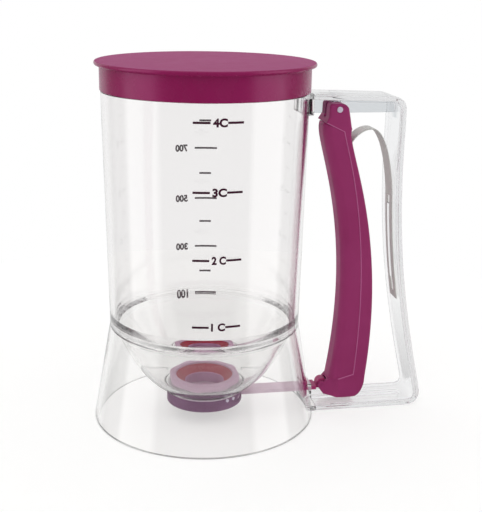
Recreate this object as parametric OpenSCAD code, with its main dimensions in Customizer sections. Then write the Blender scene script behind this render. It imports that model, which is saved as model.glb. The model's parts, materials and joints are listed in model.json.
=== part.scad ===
// Pancake batter dispenser: a clear jug with a bowl-shaped floor, a sliding gate valve under it,
// a squeeze trigger in the handle that pulls the gate open, and a press-on lid.
// Millimetres, +Z up. The origin is on the jug's axis, on the surface the dispenser stands on.
// The handle points along +X.

/* [Jug] */
// Outer radius at the foot of the skirt
base_r = 59.15; // [56:0.05:62]
// Outer radius at the waist, where the skirt, the bowl and the jug wall meet
waist_r = 50; // [48:0.1:51]
// Outer radius of the jug just under the lid
jug_r = 52.4; // [51.5:0.1:54]
// Thickness of the jug wall and of the skirt
wall = 2.4; // [1.8:0.1:3]
// Height of the top of the skirt
waist_z = 52.4; // [48:0.2:56]
// Thickness of the bowl's rim in the seam
seam_t = 2.2; // [1.6:0.1:3]
// Height of the shoulder that the lid sits on
shoulder_z = 173.9; // [168:0.2:180]
// Height of the collar above the shoulder
collar_h = 11.5; // [9:0.5:14]
// Thickness of the collar
collar_t = 1.2; // [1:0.1:1.6]

/* [Lid] */
// Thickness of the lid's top
lid_t = 2; // [1.4:0.1:3]
// Thickness of the lid's skirt
lid_wall = 1.3; // [1:0.1:1.8]
// Overhang of the lid's rim past its skirt
lid_lip = 2.5; // [1:0.1:4]
// Radial room between the lid and the collar
lid_gap = 0.3; // [0.2:0.05:0.5]
// Height of the bare space between the collar and the lid's top
lid_room = 1; // [0.5:0.1:2]
// Depth of the plug ring inside the collar
plug_h = 6; // [3:0.5:9]
// Thickness of the plug ring
plug_t = 1.4; // [1:0.1:2]

/* [Bowl] */
// Wall of the bowl
bowl_wall = 2.2; // [1.6:0.1:2.8]
// Height of the flat land round the outlet, inside the bowl
land_z = 18; // [17:0.25:20]
// Thickness of the outlet flange
flange_t = 3.6; // [2.8:0.1:4]
// Width of the outlet flange outside the ring nut's corners
flange_ledge = 2.5; // [2:0.1:4]

/* [Valve] */
// Radius of the outlet, at the seal's lip
outlet_r = 10.6; // [9:0.1:11]
// Wall of the seal at its lip
lip_t = 1.8; // [1.2:0.1:2.2]
// Width of the ring nut's lip over the seal, from the outside of the neck
nut_lip = 1.8; // [1.5:0.1:2.2]
// Wall of the ring nut outside the neck, at the middle of a flat
nut_wall = 1.2; // [0.8:0.1:2]
// Height of the ring nut above the bowl's land
nut_h = 4; // [3.4:0.1:5]
// Number of flats on the ring nut
nut_flats = 8; // [8, 10, 12]
// Outer radius of the seat's neck
neck_r = 17.2; // [16.6:0.1:17.6]
// Wall of the seat's neck
neck_t = 1.4; // [1:0.1:1.6]
// Thickness of the seat
seat_t = 1.9; // [1.5:0.1:2.4]
// Thickness of the gasket between the bowl and the housing
gasket_t = 1; // [0.8:0.1:1.4]
// Width of the seat's ledge outside its neck
seat_ledge = 0.9; // [0.7:0.1:1.6]
// Wall of the gate housing round the seat
housing_wall = 2.1; // [1.6:0.1:2.6]
// Floor of the gate housing
housing_floor = 1.9; // [1.4:0.1:2.4]
// Room round the outlet in the drip hole of the housing's floor
drip_gap = 0.2; // [0:0.1:0.6]
// Thickness of the gate blade and of the pull rod
gate_t = 2; // [1.6:0.1:2.4]
// Reach of the closed gate blade past the outlet
blade_lap = 1.4; // [1:0.1:2]
// Depth of the closed blade's rod end inside the housing
blade_in = 0.8; // [0.3:0.1:1.8]
// Sliding clearance round the gate, each side
slide_gap = 0.15; // [0.1:0.05:0.3]
// Radius of the shank of a housing pin
stud_r = 0.6; // [0.5:0.05:0.65]
// Radius of the head of a housing pin
stud_head_r = 0.9; // [0.8:0.05:0.95]
// Angle of the first housing pin from the rod, on both sides
stud_angle = 50; // [44:1:70]
// Angle between the two housing pins of a side
stud_step = 12; // [8:1:40]

/* [Pull rod] */
// Width of the pull rod
rod_w = 9; // [7:0.5:10]
// Distance of the rod's lap on the blade from the seal's lip
lap_gap = 0.2; // [0.1:0.1:1.5]
// Width of the eye at the end of the rod
eye_w = 4.8; // [4:0.2:6]
// Wall of the eye round its slot
eye_t = 1.2; // [0.9:0.1:1.4]
// Radius of the link pin
link_r = 1.25; // [1:0.05:1.3]
// Radius of the rivets in the lap
rivet_r = 0.9; // [0.6:0.1:1.2]
// Room round the rod in the skirt's slot, each side
slot_gap = 0.4; // [0.3:0.05:0.6]
// Margin of the collar round the slot
slot_margin = 1.8; // [1.2:0.1:2.5]
// Height of the slot's collar above the skirt
slot_proud = 1.4; // [0.8:0.1:2.4]

/* [Handle] */
// Width of the handle's band
band_w = 24; // [20:0.5:28]
// Thickness of the handle's band
band_t = 2.8; // [2.4:0.1:3.4]
// Height of the pads that carry the handle's arms, above the jug and the skirt
pad_t = 1; // [0.6:0.1:2]
// Distance of the top arm below the lid's shoulder
arm_below = 1.4; // [1:0.1:3]
// Drop of the top arm from the jug to the corner
arm_drop = 1.2; // [0.6:0.1:2]
// Distance from the pivot to the outside of the band's top corner
grip_top = 34.7; // [33:0.1:38]
// Distance from the link pin to the outside of the band near the floor
grip_low = 53.2; // [51:0.1:56]
// Thickness of the web under the top arm
web_t = 3; // [2.4:0.1:4]
// Height of the web, from its bottom to the top of the arm
web_h = 10.7; // [10.2:0.1:12]
// Height of the rib on the lower arm
arm_rib_h = 1; // [0.6:0.1:1.2]
// Height of the rib that guides the spring
guide_h = 1.3; // [0.9:0.1:1.6]
// Width of the rib that guides the spring
guide_w = 2.4; // [1.8:0.1:3]

/* [Trigger] */
// Distance of the link pin outside the foot of the skirt
link_out = 6.25; // [5.5:0.05:8]
// Distance of the pivot outside the link pin
pivot_out = 2; // [1:0.1:3]
// Depth of the pivot below the top of the arm
pivot_drop = 8; // [7.7:0.1:8.6]
// Radius of the pivot pin
pivot_r = 1.5; // [1.2:0.1:1.6]
// Running clearance of the pivot pin in the web
pivot_gap = 0.06; // [0.02:0.01:0.1]
// Radius of the web's boss round the pivot
boss_r = 4.2; // [3.8:0.1:4.4]
// Height of the web's boss above each face of the web
boss_h = 1.3; // [0.8:0.1:1.6]
// Radius of the pivot pin's head
pivot_head_r = 1.9; // [1.8:0.1:2.6]
// Thickness of the pivot pin's head
pivot_head_t = 0.9; // [0.6:0.1:1.2]
// Outer radius of the pivot pin's push-on washer
washer_r = 3.1; // [2.6:0.1:3.6]
// Thickness of the washer
washer_t = 0.6; // [0.5:0.1:0.8]
// Width of the trigger
trigger_w = 18; // [16:0.5:20]
// Side clearance of the trigger's fork, on the web and on the rod's eye
fork_gap = 0.35; // [0.3:0.05:0.5]
// Height of the trigger's head above the pivot
head_h = 3; // [2.2:0.1:4]
// Depth of the trigger's foot below the link pin
foot_h = 6; // [5:0.1:6.4]
// Thickness of each cheek of the foot's fork
cheek_t = 2; // [1.4:0.1:3]
// Wall of the cheeks round the link pin
knuckle_t = 1.15; // [0.9:0.05:1.6]
// Angle through which the trigger is squeezed
swing = 7.5; // [5:0.1:7.5]
// Wall of the grip cover
cover_t = 2; // [1.6:0.1:2.2]
// Radius of the grip cover's front edges
cover_r = 5.5; // [4.5:0.1:6.5]
// Width of the lever's tongue inside the grip cover
tongue_w = 9; // [7:0.5:9.5]
// Room between the tongue and the front of the grip cover
tongue_gap = 1; // [0.8:0.1:1.5]

/* [Spring] */
// Width of the leaf spring
spring_w = 10.6; // [9:0.2:12]
// Thickness of the leaf spring
spring_t = 0.7; // [0.5:0.05:0.9]
// Clearance between the spring's tail and the band
spring_gap = 0.3; // [0.2:0.05:0.4]
// Depth of the spring's crown below the pivot
spring_drop = 10.7; // [10:0.1:12]
// Side room of the guide rib in the spring's slot
guide_gap = 0.5; // [0.3:0.1:0.8]

/* [Hidden] */
$fn = 96;

// Fits: parts of one rigid group, faces laid together, and cuts that run past a face
fit = 0.1;
seat_gap = 0.05;
over = 1;

// Heights of the valve, from the bowl's land down
flange_z = land_z - flange_t;
housing_top_z = flange_z - gasket_t;
seat_z = housing_top_z - seat_t;
blade_top_z = seat_z - fit;
blade_z = blade_top_z - gate_t;
floor_top_z = blade_z - fit;
housing_z = floor_top_z - housing_floor;
neck_top_z = land_z + nut_h / 2;
seal_flange_t = 0.8;
nut_step_z = neck_top_z + seal_flange_t + seat_gap;
link_z = blade_top_z;

// Radii of the valve, from the outlet and from the neck outward
lip_r = outlet_r + lip_t;
drip_r = outlet_r + drip_gap;
blade_w = 2 * (outlet_r + blade_lap);
nut_hole_r = neck_r - nut_lip;
nut_r = (neck_r + fit + nut_wall) / cos(180 / nut_flats);
seat_r = neck_r + seat_ledge;
housing_r = seat_r + fit + housing_wall;
flange_r = nut_r + flange_ledge;
blade_tail = housing_r - blade_in;
lap_x = lip_r + lap_gap;

// Heights of the jug and the lid
seam_z = waist_z + seam_t;
collar_z = shoulder_z + collar_h;
lid_proud = 0.4;
lid_r = jug_r + lid_proud;
collar_r = lid_r - lid_wall - lid_gap;
lid_under_z = collar_z + lid_room;
lid_z = lid_under_z + lid_t;
lid_edge = 0.7;

// Places of the handle and the trigger
arm_z = shoulder_z - arm_below;
web_z = arm_z - web_h;
top_pad_x = jug_r + pad_t;
low_pad_x = base_r + pad_t;
link_x = base_r + link_out;
pivot_x = link_x + pivot_out;
pivot_z = arm_z - pivot_drop;
grip_top_x = pivot_x + grip_top;
grip_low_x = link_x + grip_low;

// The swing: how far the link pin rises, and the eye that lets it
link_rise = (pivot_z - link_z) * (1 - cos(swing)) - pivot_out * sin(swing);
eye_r = link_r + fit + link_rise / 2 + eye_t;
knuckle_r = link_r + knuckle_t;

// A point on a quadratic and on a cubic curve, and n steps along each
function quad_at(a, b, c, t) = (1 - t) * (1 - t) * a + 2 * t * (1 - t) * b + t * t * c;
function cubic_at(p, t) =
    pow(1 - t, 3) * p[0] + 3 * t * pow(1 - t, 2) * p[1] + 3 * t * t * (1 - t) * p[2] + pow(t, 3) * p[3];
function quad(a, b, c, n) = [for (i = [0:n]) quad_at(a, b, c, i / n)];
function cubic(p, n, from = 0, to = 1) = [for (i = [0:n]) cubic_at(p, from + (to - from) * i / n)];

// A path moved to its right-hand side by a distance, with mitred corners
function unit(v) = v / norm(v);
function right(v) = [v[1], -v[0]];
function side_at(p, i) =
    let (
        last = len(p) - 1,
        a = unit(p[max(i, 1)] - p[max(i, 1) - 1]),
        b = unit(p[min(i, last - 1) + 1] - p[min(i, last - 1)]),
        m = unit(right(a) + right(b))
    ) m / (m * right(a));
function inset(p, d) = [for (i = [0:len(p) - 1]) p[i] + d * side_at(p, i)];
function backwards(p) = [for (i = [len(p) - 1:-1:0]) p[i]];
function ribbon(p, from, to) = concat(inset(p, from), backwards(inset(p, to)));

// A side view in X and Z, as thick as w across the handle's plane
module plate(points, w) {
    translate([0, w / 2, 0])
        rotate([90, 0, 0])
            linear_extrude(w)
                polygon(points);
}

// A pin or a bore across the handle's plane, from y = from to y = to
module across(x, z, r, from, to) {
    translate([x, to, z])
        rotate([90, 0, 0])
            cylinder(r = r, h = to - from);
}

module block(from, to) {
    translate(from)
        cube(to - from);
}

// Jug, bowl and skirt

function wall_r(z) = waist_r + (jug_r - waist_r) * (z - seam_z) / (shoulder_z - seam_z);

module jug_wall() {
    color("white", 0.35)
        difference() {
            union() {
                rotate_extrude()
                    polygon([
                        [0, seam_z], [waist_r, seam_z], [jug_r, shoulder_z],
                        [collar_r, shoulder_z], [collar_r, collar_z], [0, collar_z]
                    ]);
                block([jug_r - wall, -band_w / 2, web_z], [top_pad_x, band_w / 2, arm_z]);
            }
            rotate_extrude()
                polygon([
                    [0, seam_z - over], [waist_r - wall, seam_z - over], [waist_r - wall, seam_z],
                    [collar_r - collar_t, shoulder_z], [collar_r - collar_t, collar_z + over],
                    [0, collar_z + over]
                ]);
        }
}

bowl_top = [waist_r - wall - 2 * fit, waist_z];
bowl_low = [flange_r, land_z - 0.89 * bowl_wall];
bowl_bend = [flange_r + 0.58 * (bowl_top[0] - flange_r), land_z + 0.164 * (waist_z - land_z)];
bowl_out = quad(bowl_top, bowl_bend, bowl_low, 14);
bowl_in = inset(bowl_out, bowl_wall);
bowl_hole_r = neck_r + fit;

module bowl_funnel() {
    inside = [for (i = [0:len(bowl_in) - 2]) bowl_in[i]];
    color("white", 0.35)
        rotate_extrude()
            polygon(concat(
                [[waist_r, seam_z], [waist_r, waist_z]],
                bowl_out,
                [[flange_r, flange_z], [bowl_hole_r, flange_z], [bowl_hole_r, land_z]],
                [[flange_r - 0.46 * bowl_wall, land_z]],
                backwards(inside),
                [[waist_r - wall - bowl_wall / 2, seam_z]]
            ));
}

function skirt_r(z) = base_r + (waist_r - base_r) * z / waist_z;
slot_face_x = skirt_r(blade_z + gate_t / 2) + slot_proud;
slot_w = rod_w + 2 * slot_gap;
slot_z0 = blade_z - slot_gap;
slot_z1 = blade_top_z + slot_gap;

module base_skirt() {
    color("white", 0.35)
        difference() {
            union() {
                rotate_extrude()
                    polygon([[0, 0], [base_r, 0], [waist_r, waist_z], [0, waist_z]]);
                block([base_r - wall, -band_w / 2, 0], [low_pad_x, band_w / 2, band_t]);
                block(
                    [waist_r, -slot_w / 2 - slot_margin, slot_z0 - slot_margin],
                    [slot_face_x, slot_w / 2 + slot_margin, slot_z1 + slot_margin]
                );
            }
            rotate_extrude()
                polygon([
                    [0, -over], [base_r - wall, -over], [base_r - wall, 0],
                    [waist_r - wall, waist_z], [waist_r - wall, waist_z + over], [0, waist_z + over]
                ]);
            block([waist_r - wall, -slot_w / 2, slot_z0], [slot_face_x + over, slot_w / 2, slot_z1]);
        }
}

// Handle frame: one band round the hand, from the jug's pad to the skirt's pad

corner_r = 8;
grip = [
    [grip_top_x, arm_z - 17.6], [grip_top_x - 1.1, arm_z * 0.57],
    [grip_top_x + 4.8, arm_z * 0.356], [grip_low_x, 11.4]
];
foot_end = grip[3] + unit(grip[3] - grip[2]) * 11.7;
band_start = cubic(grip, 24);
band_path = concat(
    [[top_pad_x, arm_z]],
    quad(
        [grip_top_x - corner_r, arm_z - arm_drop],
        [grip_top_x + 0.4, arm_z - arm_drop - 0.5],
        [grip_top_x, arm_z - arm_drop - corner_r],
        8
    ),
    band_start,
    [for (i = [1:8]) quad_at(grip[3], [foot_end[0], 0], [foot_end[0] - 10.7, 0], i / 8)],
    [[low_pad_x, 0]]
);
web_right = grip_top_x - band_t / 2;
guide_path = cubic(grip, 8, 0.265, 0.56);

module handle_frame() {
    boss_y = web_t / 2 + boss_h;
    color("white", 0.35)
        difference() {
            union() {
                plate(ribbon(band_path, 0, band_t), band_w);
                plate([
                    [top_pad_x, web_z], [top_pad_x, arm_z - band_t / 2],
                    [web_right - corner_r / 2, arm_z - arm_drop - band_t / 2],
                    [web_right, arm_z - corner_r], [web_right, web_z]
                ], web_t);
                across(pivot_x, pivot_z, boss_r, -boss_y, boss_y);
                block(
                    [low_pad_x, -web_t / 2, band_t / 2],
                    [grip_low_x - 8, web_t / 2, band_t + arm_rib_h]
                );
                plate(ribbon(guide_path, band_t / 2, band_t + guide_h), guide_w);
            }
            across(pivot_x, pivot_z, pivot_r + pivot_gap, -band_w, band_w);
        }
}

// Lid: a disc with a lip, a skirt outside the collar and a plug ring inside it

module lid() {
    skirt_in = lid_r - lid_wall;
    skirt_z = shoulder_z + fit;
    plug_out = collar_r - collar_t - lid_gap;
    plug_z = lid_under_z - lid_room - plug_h;
    lip_r_out = lid_r + lid_lip;
    color("#8c3a66")
        rotate_extrude()
            polygon([
                [0, lid_under_z], [plug_out - plug_t, lid_under_z], [plug_out - plug_t, plug_z],
                [plug_out, plug_z], [plug_out, lid_under_z],
                [skirt_in, lid_under_z], [skirt_in, skirt_z], [lid_r, skirt_z],
                [lid_r, lid_under_z], [lip_r_out, lid_under_z], [lip_r_out, lid_z - lid_edge],
                [lip_r_out - lid_edge, lid_z], [0, lid_z]
            ]);
}

// Valve: the nut clamps the seal and the bowl on the seat's neck, and the housing holds the gate

module outlet_nut() {
    color("#b394a8")
        difference() {
            translate([0, 0, land_z])
                rotate([0, 0, 180 / nut_flats])
                    cylinder(r = nut_r, h = nut_h, $fn = nut_flats);
            translate([0, 0, land_z - over])
                cylinder(r = neck_r + fit, h = nut_step_z - land_z + over);
            translate([0, 0, land_z])
                cylinder(r = nut_hole_r, h = nut_h + over);
        }
}

module outlet_seal() {
    shell_r = neck_r - neck_t - fit;
    color("#c0455a")
        rotate_extrude()
            polygon([
                [outlet_r, blade_top_z + seat_gap], [lip_r, blade_top_z + seat_gap],
                [lip_r, housing_top_z + fit], [shell_r, neck_top_z - fit * 8],
                [shell_r, neck_top_z], [neck_r, neck_top_z],
                [neck_r, neck_top_z + seal_flange_t], [nut_hole_r - fit, neck_top_z + seal_flange_t],
                [outlet_r, seat_z + fit * 11]
            ]);
}

module stud_ring(r, from, to) {
    for (side = [-1, 1], k = [0, 1])
        rotate([0, 0, side * (stud_angle + k * stud_step)])
            translate([from, 0, (seat_z + housing_top_z) / 2])
                rotate([0, 90, 0])
                    cylinder(r = r, h = to - from);
}

stud_in = seat_r - 1.6;
stud_head_t = 0.5;

module valve_seat() {
    color("#7d4a72")
        difference() {
            rotate_extrude()
                polygon([
                    [lip_r + fit, seat_z], [seat_r, seat_z], [seat_r, housing_top_z],
                    [neck_r, housing_top_z], [neck_r, neck_top_z],
                    [neck_r - neck_t, neck_top_z], [neck_r - neck_t, housing_top_z],
                    [lip_r + fit, housing_top_z]
                ]);
            stud_ring(stud_r + seat_gap, stud_in - fit, seat_r + over);
        }
}

channel_w = blade_w + 2 * slide_gap;

module gate_housing() {
    color("#6b3f66")
        difference() {
            translate([0, 0, housing_z])
                cylinder(r = housing_r, h = housing_top_z - housing_z);
            translate([0, 0, seat_z])
                cylinder(r = seat_r + fit, h = seat_t + over);
            translate([0, 0, floor_top_z])
                cylinder(r = channel_w / 2, h = seat_t + over);
            block([0, -channel_w / 2, floor_top_z], [housing_r + over, channel_w / 2, seat_z]);
            translate([0, 0, housing_z - over])
                cylinder(r = drip_r, h = housing_floor + 2 * over);
            stud_ring(stud_r + seat_gap, seat_r - over, housing_r + over);
        }
}

module housing_gasket() {
    color("#e8dde4")
        translate([0, 0, housing_top_z])
            difference() {
                cylinder(r = housing_r - fit * 3, h = gasket_t);
                translate([0, 0, -over])
                    cylinder(r = neck_r + 2 * fit, h = gasket_t + 2 * over);
            }
}

module housing_pins() {
    color("silver") {
        stud_ring(stud_r, stud_in, housing_r);
        stud_ring(stud_head_r, housing_r, housing_r + stud_head_t);
    }
}

// Gate: a blade that closes the outlet, lapped and riveted to the pull rod

lap_z = blade_z + gate_t / 2;
rivet_shares = [0.28, 0.72];
rivet_x = [for (k = rivet_shares) lap_x + k * (blade_tail - lap_x)];

module rivets(r, from, to) {
    for (x = rivet_x)
        translate([x, 0, from])
            cylinder(r = r, h = to - from);
}

module gate_blade() {
    color("#8d6f8a")
        difference() {
            union() {
                translate([0, 0, blade_z])
                    cylinder(r = blade_w / 2, h = gate_t);
                intersection() {
                    translate([0, 0, blade_z])
                        cylinder(r = blade_tail, h = gate_t);
                    block([0, -blade_w / 2, blade_z], [blade_tail + over, blade_w / 2, blade_top_z]);
                }
            }
            block(
                [lap_x, -rod_w / 2 - fit, lap_z],
                [blade_tail + over, rod_w / 2 + fit, blade_top_z + over]
            );
            rivets(rivet_r + seat_gap, blade_z - over, blade_top_z + over);
        }
}

module blade_rivets() {
    color("silver")
        rivets(rivet_r, blade_z, blade_top_z);
}

// Where the rod narrows to its eye, clear of the trigger's knuckle
rod_clear = 1.2;
bar_end_x = link_x - knuckle_r - rod_clear;

module pull_rod() {
    eye_z = link_z + link_rise / 2;
    color("#a3336c")
        difference() {
            union() {
                block([lap_x + fit, -rod_w / 2, lap_z], [blade_tail + fit, rod_w / 2, blade_top_z]);
                block([blade_tail + fit, -rod_w / 2, blade_z], [bar_end_x, rod_w / 2, blade_top_z]);
                block([bar_end_x, -eye_w / 2, blade_z], [link_x, eye_w / 2, blade_top_z]);
                across(link_x, eye_z, eye_r, -eye_w / 2, eye_w / 2);
            }
            rivets(rivet_r + seat_gap, blade_z - over, blade_top_z + over);
            across(link_x, link_z, link_r + fit, -eye_w, eye_w);
            across(link_x, link_z + link_rise, link_r + fit, -eye_w, eye_w);
            block(
                [link_x - link_r - fit, -eye_w, link_z],
                [link_x + link_r + fit, eye_w, link_z + link_rise]
            );
        }
}

module link_pin() {
    color("#85305b")
        across(link_x, link_z, link_r, -nose, nose);
}

// Trigger: side curves of the grip, from the head at the top to the foot

// A point at a distance outside the pivot, and at a share of the way up from the link pin to it
function side_point(x, up) = [pivot_x + x, link_z + up * (pivot_z - link_z)];
front = [side_point(-6.8, 0.954), side_point(-11.8, 0.892), side_point(16, 0.617), side_point(1, 0.028)];
parting = [side_point(2.9, 0.925), side_point(4.7, 0.86), side_point(21.3, 0.585), side_point(13.8, 0.05)];
back = [side_point(7.4, 0.933), side_point(3.7, 0.878), side_point(31.2, 0.585), side_point(20.5, 0.016)];
steps = 16;

// Across the grip cover at one station: depth from the parting line, and side
function cover_half(depth, w, r, n) = concat(
    [[0, -w]],
    [for (i = [0:n]) [depth - r + r * sin(90 * i / n), -w + r - r * cos(90 * i / n)]]
);
function mirrored(p) = [for (i = [len(p) - 1:-1:0]) [p[i][0], -p[i][1]]];
function cover_section(depth) =
    let (
        outer = cover_half(depth, trigger_w / 2, cover_r, 5),
        inner = cover_half(depth - cover_t, trigger_w / 2 - cover_t, cover_r - cover_t, 5)
    ) concat(outer, mirrored(outer), backwards(concat(inner, mirrored(inner))));
function cover_ring(t) =
    let (
        a = cubic_at(parting, t),
        b = cubic_at(front, t),
        d = unit(b - a)
    ) [for (p = cover_section(norm(b - a))) [a[0] + d[0] * p[0], p[1], a[1] + d[1] * p[0]]];

// A closed skin over rings of points, all of one length. Each ring runs out along a wall and
// back inside it, so an end is closed by strips from one side of the wall to the other.
module channel_skin(rings) {
    n = len(rings[0]);
    last = (len(rings) - 1) * n;
    points = [for (ring = rings, p = ring) p];
    sides = [
        for (i = [0:len(rings) - 2], k = [0:n - 1])
            let (a = i * n + k, b = i * n + (k + 1) % n)
                each [[a, a + n, b], [b, a + n, b + n]]
    ];
    strips = [
        for (k = [0:n / 2 - 2])
            let (far = n - 1 - k)
                each [[k, k + 1, far - 1], [k, far - 1, far]]
    ];
    ends = [for (s = strips) each [s, [last + s[2], last + s[1], last + s[0]]]];
    polyhedron(points, concat(sides, ends));
}

module grip_cover() {
    color("#85305b")
        channel_skin([for (i = [0:steps]) cover_ring(i / steps)]);
}

head_z = pivot_z + head_h;
head = concat(
    quad(back[0] + [-0.4, 1.2], [pivot_x + 5.9, pivot_z - 2.5], [pivot_x + 5.2, pivot_z + 0.4], 3),
    quad([pivot_x + 4.6, pivot_z + 1.3], [pivot_x + 3.4, head_z], [pivot_x - 0.6, head_z], 4),
    [[pivot_x - 3.8, head_z], front[0] + [2.6, 3.2], front[0] + [0.1, 2 * fit]]
);
// A point of the foot's sole, from the lowest place under the link pin
function sole_at(p) = [link_x + p[0], link_z - foot_h + p[1]];
foot = concat(
    [front[3] - [0, 2 * fit], [link_x + knuckle_r * 0.4, link_z + knuckle_r * 0.8]],
    [[link_x - knuckle_r * 0.7, link_z - knuckle_r * 0.7]],
    quad(sole_at([0.4, 1.3]), sole_at([6, -0.3]), sole_at([14.6, 0]), 4),
    quad(sole_at([17.5, 0.3]), sole_at([21.2, 1.8]), back[3], 5)
);

// The foot narrows to its fork, seen from above
eye_fork = eye_w / 2 + fork_gap;
nose = eye_fork + cheek_t;
nose_side = quad([link_x + 1, nose], [link_x + 5.6, nose + 1.2], [link_x + 8.4, trigger_w / 2 + over], 6);

module nose_cut() {
    for (side = [0, 1])
        mirror([0, side, 0])
            linear_extrude(link_z + 3 * foot_h)
                polygon(concat(
                    [[link_x - 2 * knuckle_r, trigger_w / 2 + over], [link_x - 2 * knuckle_r, nose]],
                    nose_side
                ));
}

// The spring's path: out of the lever's back, over its crown, and down the inside of the band
hook_in = [pivot_x + 6, pivot_z - 20.2];
hook_out = [pivot_x + 8.2, pivot_z - 17.6];
crown = [pivot_x + 18.7, pivot_z - spring_drop];
hook_slot = [hook_in - [0.2, 0.23], hook_out + [1, 1.2]];
hook_gap = 0.15;
tail_from = 0.22;
tail_to = 0.645;
tail_off = band_t + spring_gap + spring_t / 2;
tail = inset(cubic(grip, 12, tail_from, tail_to), tail_off);
spring_path = concat(
    [hook_in],
    cubic([hook_out, hook_out + [2.3, 3.5], crown - [4.6, 0], crown], 8),
    [for (i = [1:9]) cubic_at([crown, crown + [8.2, 0], tail[0] + [-1.1, 13], tail[0]], i / 10)],
    tail
);
spring_slot = inset(cubic(grip, 10, 0.235, 0.62), tail_off);

module trigger_lever() {
    side = trigger_w / 2;
    fork = web_t / 2 + boss_h + fork_gap;
    boss_room = 0.6;
    eye_room = eye_r + link_rise / 2 + 2 * fork_gap;
    spine = cubic(parting, steps);
    tongue = [
        for (i = [0:steps])
            let (a = cubic_at(front, i / steps), b = spine[i])
                a + unit(b - a) * (cover_t + tongue_gap)
    ];
    color("#85305b")
        difference() {
            union() {
                plate(concat(
                    [for (p = spine) p + [seat_gap, 0]],
                    foot,
                    backwards(cubic(back, steps)),
                    head
                ), trigger_w);
                plate(concat(
                    [front[0] + [2, 2]], tongue, [front[3] + [3, -2]],
                    backwards([for (p = spine) p + [over / 2, 0]])
                ), tongue_w);
                across(link_x, link_z, knuckle_r, -nose, nose);
            }
            nose_cut();
            block(
                [pivot_x - trigger_w, -fork, pivot_z - boss_r - boss_room],
                [pivot_x + trigger_w, fork, pivot_z + trigger_w]
            );
            across(pivot_x, pivot_z, pivot_r + seat_gap, -side - over, side + over);
            block(
                [link_x - eye_room, -eye_fork, link_z - eye_room - foot_h],
                [link_x + eye_room, eye_fork, link_z + eye_room]
            );
            across(link_x, link_z, link_r + seat_gap, -side - over, side + over);
            plate(ribbon(hook_slot, -spring_t / 2 - hook_gap, spring_t / 2 + hook_gap), spring_w + 0.4);
        }
}

module pivot_pin() {
    near = trigger_w / 2 + seat_gap;
    pin_tail = 0.8;
    color("silver") {
        across(pivot_x, pivot_z, pivot_r, -near, near + washer_t + pin_tail);
        across(pivot_x, pivot_z, pivot_head_r, -near - pivot_head_t, -near);
    }
}

module pivot_washer() {
    near = trigger_w / 2 + seat_gap;
    color("silver")
        difference() {
            across(pivot_x, pivot_z, washer_r, near, near + washer_t);
            across(pivot_x, pivot_z, pivot_r + seat_gap / 5, near - over, near + washer_t + over);
        }
}

module leaf_spring() {
    color("gray")
        difference() {
            plate(ribbon(spring_path, -spring_t / 2, spring_t / 2), spring_w);
            plate(ribbon(spring_slot, -over, over), guide_w + 2 * guide_gap);
        }
}

jug_wall();
bowl_funnel();
base_skirt();
handle_frame();
lid();
outlet_nut();
outlet_seal();
valve_seat();
gate_housing();
housing_gasket();
housing_pins();
gate_blade();
blade_rivets();
pull_rod();
link_pin();
trigger_lever();
grip_cover();
pivot_pin();
pivot_washer();
leaf_spring();
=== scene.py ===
"""Looks of the pancake batter dispenser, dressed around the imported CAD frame.

Shapes are worked out in millimetres, in the frame's axes, and become metres when a piece is added.
"""

import json
import math

import bmesh
import bpy
from mathutils import Matrix, Vector

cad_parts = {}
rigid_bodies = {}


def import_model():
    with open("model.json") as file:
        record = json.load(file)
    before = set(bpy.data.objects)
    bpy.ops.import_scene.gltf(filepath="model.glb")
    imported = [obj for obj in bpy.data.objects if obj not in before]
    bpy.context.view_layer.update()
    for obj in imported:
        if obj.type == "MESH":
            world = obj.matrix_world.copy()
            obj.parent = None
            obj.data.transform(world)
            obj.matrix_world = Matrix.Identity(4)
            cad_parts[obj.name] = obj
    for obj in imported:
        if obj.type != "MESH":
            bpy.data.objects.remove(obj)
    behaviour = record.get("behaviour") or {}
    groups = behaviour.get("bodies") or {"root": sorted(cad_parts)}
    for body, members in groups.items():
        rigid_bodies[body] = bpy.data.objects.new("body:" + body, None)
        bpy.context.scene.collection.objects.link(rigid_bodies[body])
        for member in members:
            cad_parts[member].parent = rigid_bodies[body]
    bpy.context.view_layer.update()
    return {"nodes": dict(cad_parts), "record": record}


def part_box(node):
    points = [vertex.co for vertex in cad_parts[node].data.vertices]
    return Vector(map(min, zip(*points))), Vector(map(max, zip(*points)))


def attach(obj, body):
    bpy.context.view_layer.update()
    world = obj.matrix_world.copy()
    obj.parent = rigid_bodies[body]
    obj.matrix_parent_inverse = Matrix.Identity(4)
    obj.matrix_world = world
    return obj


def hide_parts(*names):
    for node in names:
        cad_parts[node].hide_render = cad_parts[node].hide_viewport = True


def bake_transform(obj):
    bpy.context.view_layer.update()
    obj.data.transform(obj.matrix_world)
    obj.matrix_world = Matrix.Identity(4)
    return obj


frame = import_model()
MM = 0.001


# --------------------------------------------------
# Camera: the photographed view, fitted to the rims, the foot and the handle
# --------------------------------------------------

CAMERA_PLACE = Vector((-72.6, -495.7, 233.9))
CAMERA_FORWARD = Vector((0.1749, 0.9437, -0.2806)).normalized()
CAMERA_ROLL = math.radians(0.882)
CAMERA_LENS = 69.91
SENSOR = 36.0


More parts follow.
